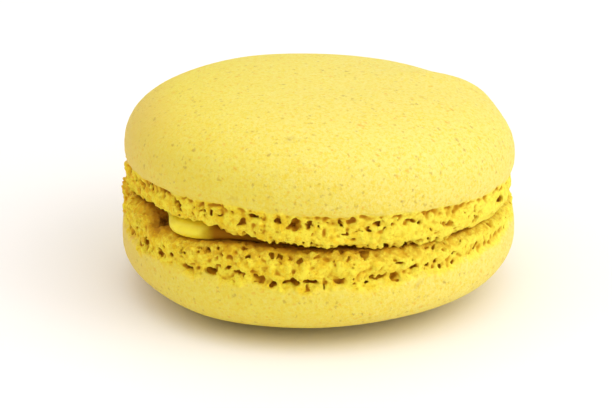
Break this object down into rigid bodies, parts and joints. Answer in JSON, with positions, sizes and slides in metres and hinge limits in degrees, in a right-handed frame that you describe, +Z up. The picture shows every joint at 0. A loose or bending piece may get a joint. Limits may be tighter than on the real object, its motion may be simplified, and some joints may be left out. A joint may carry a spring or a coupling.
{
  "type": "french macaron",
  "caption": "Round sandwich biscuit with smooth domed almond shells, ruffled porous feet and a layer of cream between them.",
  "frame": {"origin": "middle of the outline at the rest spot under the lower shell, where the macaron stands", "axes": "+Z up through the crown of both shells, -Y towards the front, where the feet gape most, +X to the right"},
  "size_m": [0.0462, 0.046, 0.0252],
  "materials": {
    "shell": "matte, finely dimpled baked almond skin, porous at the feet",
    "cream": "smooth, soft satin cream"
  },
  "bodies": {
    "root": {"top_shell": "shell", "filling": "cream", "bottom_shell": "shell"}
  },
  "joints": []
}
